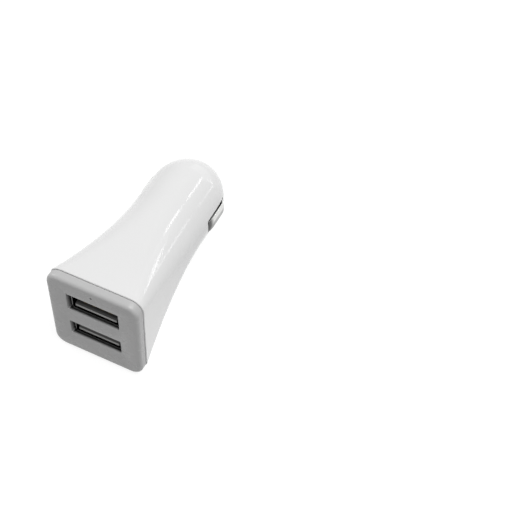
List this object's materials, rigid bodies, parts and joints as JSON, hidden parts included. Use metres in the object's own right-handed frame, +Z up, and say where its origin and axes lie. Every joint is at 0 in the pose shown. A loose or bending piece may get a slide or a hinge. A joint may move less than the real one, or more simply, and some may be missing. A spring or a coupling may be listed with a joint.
{
  "type": "car usb charger plug",
  "caption": "White charger plug for a car's round power socket, with a grey face plate, two stacked USB ports, sprung side contacts and a sprung tip.",
  "frame": {"origin": "centre of the plug's footprint, on the surface that the underside of its head lies on", "axes": "+Y along the plug's axis from the face plate towards the tip, +X to the right as the ports are faced, +Z up across the stacked ports"},
  "size_m": [0.0254, 0.0604, 0.0282],
  "materials": {
    "housing_plastic": "glossy white moulded plastic",
    "plate_plastic": "satin grey moulded plastic",
    "shell_steel": "plated steel sheet",
    "tongue_plastic": "pale moulded plastic",
    "strip_brass": "gold plated",
    "board_laminate": "green laminate",
    "ferrite": "dull ferrite",
    "can_aluminium": "satin",
    "component_black": "moulded",
    "led_resin": "clear resin",
    "clear_plastic": "clear moulded plastic",
    "contact_nickel": "nickel plated",
    "spring_steel": "drawn wire"
  },
  "bodies": {
    "plug_body": {"housing": "housing_plastic", "face_plate": "plate_plastic", "upper_port_shell": "shell_steel", "lower_port_shell": "shell_steel", "upper_port_tongue": "tongue_plastic", "lower_port_tongue": "tongue_plastic", "upper_port_contacts": "strip_brass", "lower_port_contacts": "strip_brass", "circuit_board": "board_laminate", "power_inductor": "ferrite", "input_capacitor": "can_aluminium", "output_capacitor": "can_aluminium", "regulator_chip": "component_black", "rectifier_diode": "component_black", "chip_resistors": "component_black", "status_led": "led_resin", "light_guide": "clear_plastic", "spring_seat": "contact_nickel", "tip_spring": "spring_steel"},
    "tip": {"tip_contact": "contact_nickel"},
    "left_leaf": {"left_contact": "contact_nickel"},
    "right_leaf": {"right_contact": "contact_nickel"}
  },
  "joints": [
    {"name": "tip_press", "type": "slide", "parent": "plug_body", "child": "tip", "axis": [0, -1, 0], "range_m": [0, 0.0014], "stiffness_N_per_m": 600, "springref_m": -0.001, "deforming": ["tip_spring"]},
    {"name": "left_contact_press", "type": "slide", "parent": "plug_body", "child": "left_leaf", "axis": [1, 0, 0], "range_m": [0, 0.0008], "stiffness_N_per_m": 2500, "springref_m": -0.0004},
    {"name": "right_contact_press", "type": "slide", "parent": "plug_body", "child": "right_leaf", "axis": [-1, 0, 0], "range_m": [0, 0.0008], "stiffness_N_per_m": 2500, "springref_m": -0.0004}
  ]
}
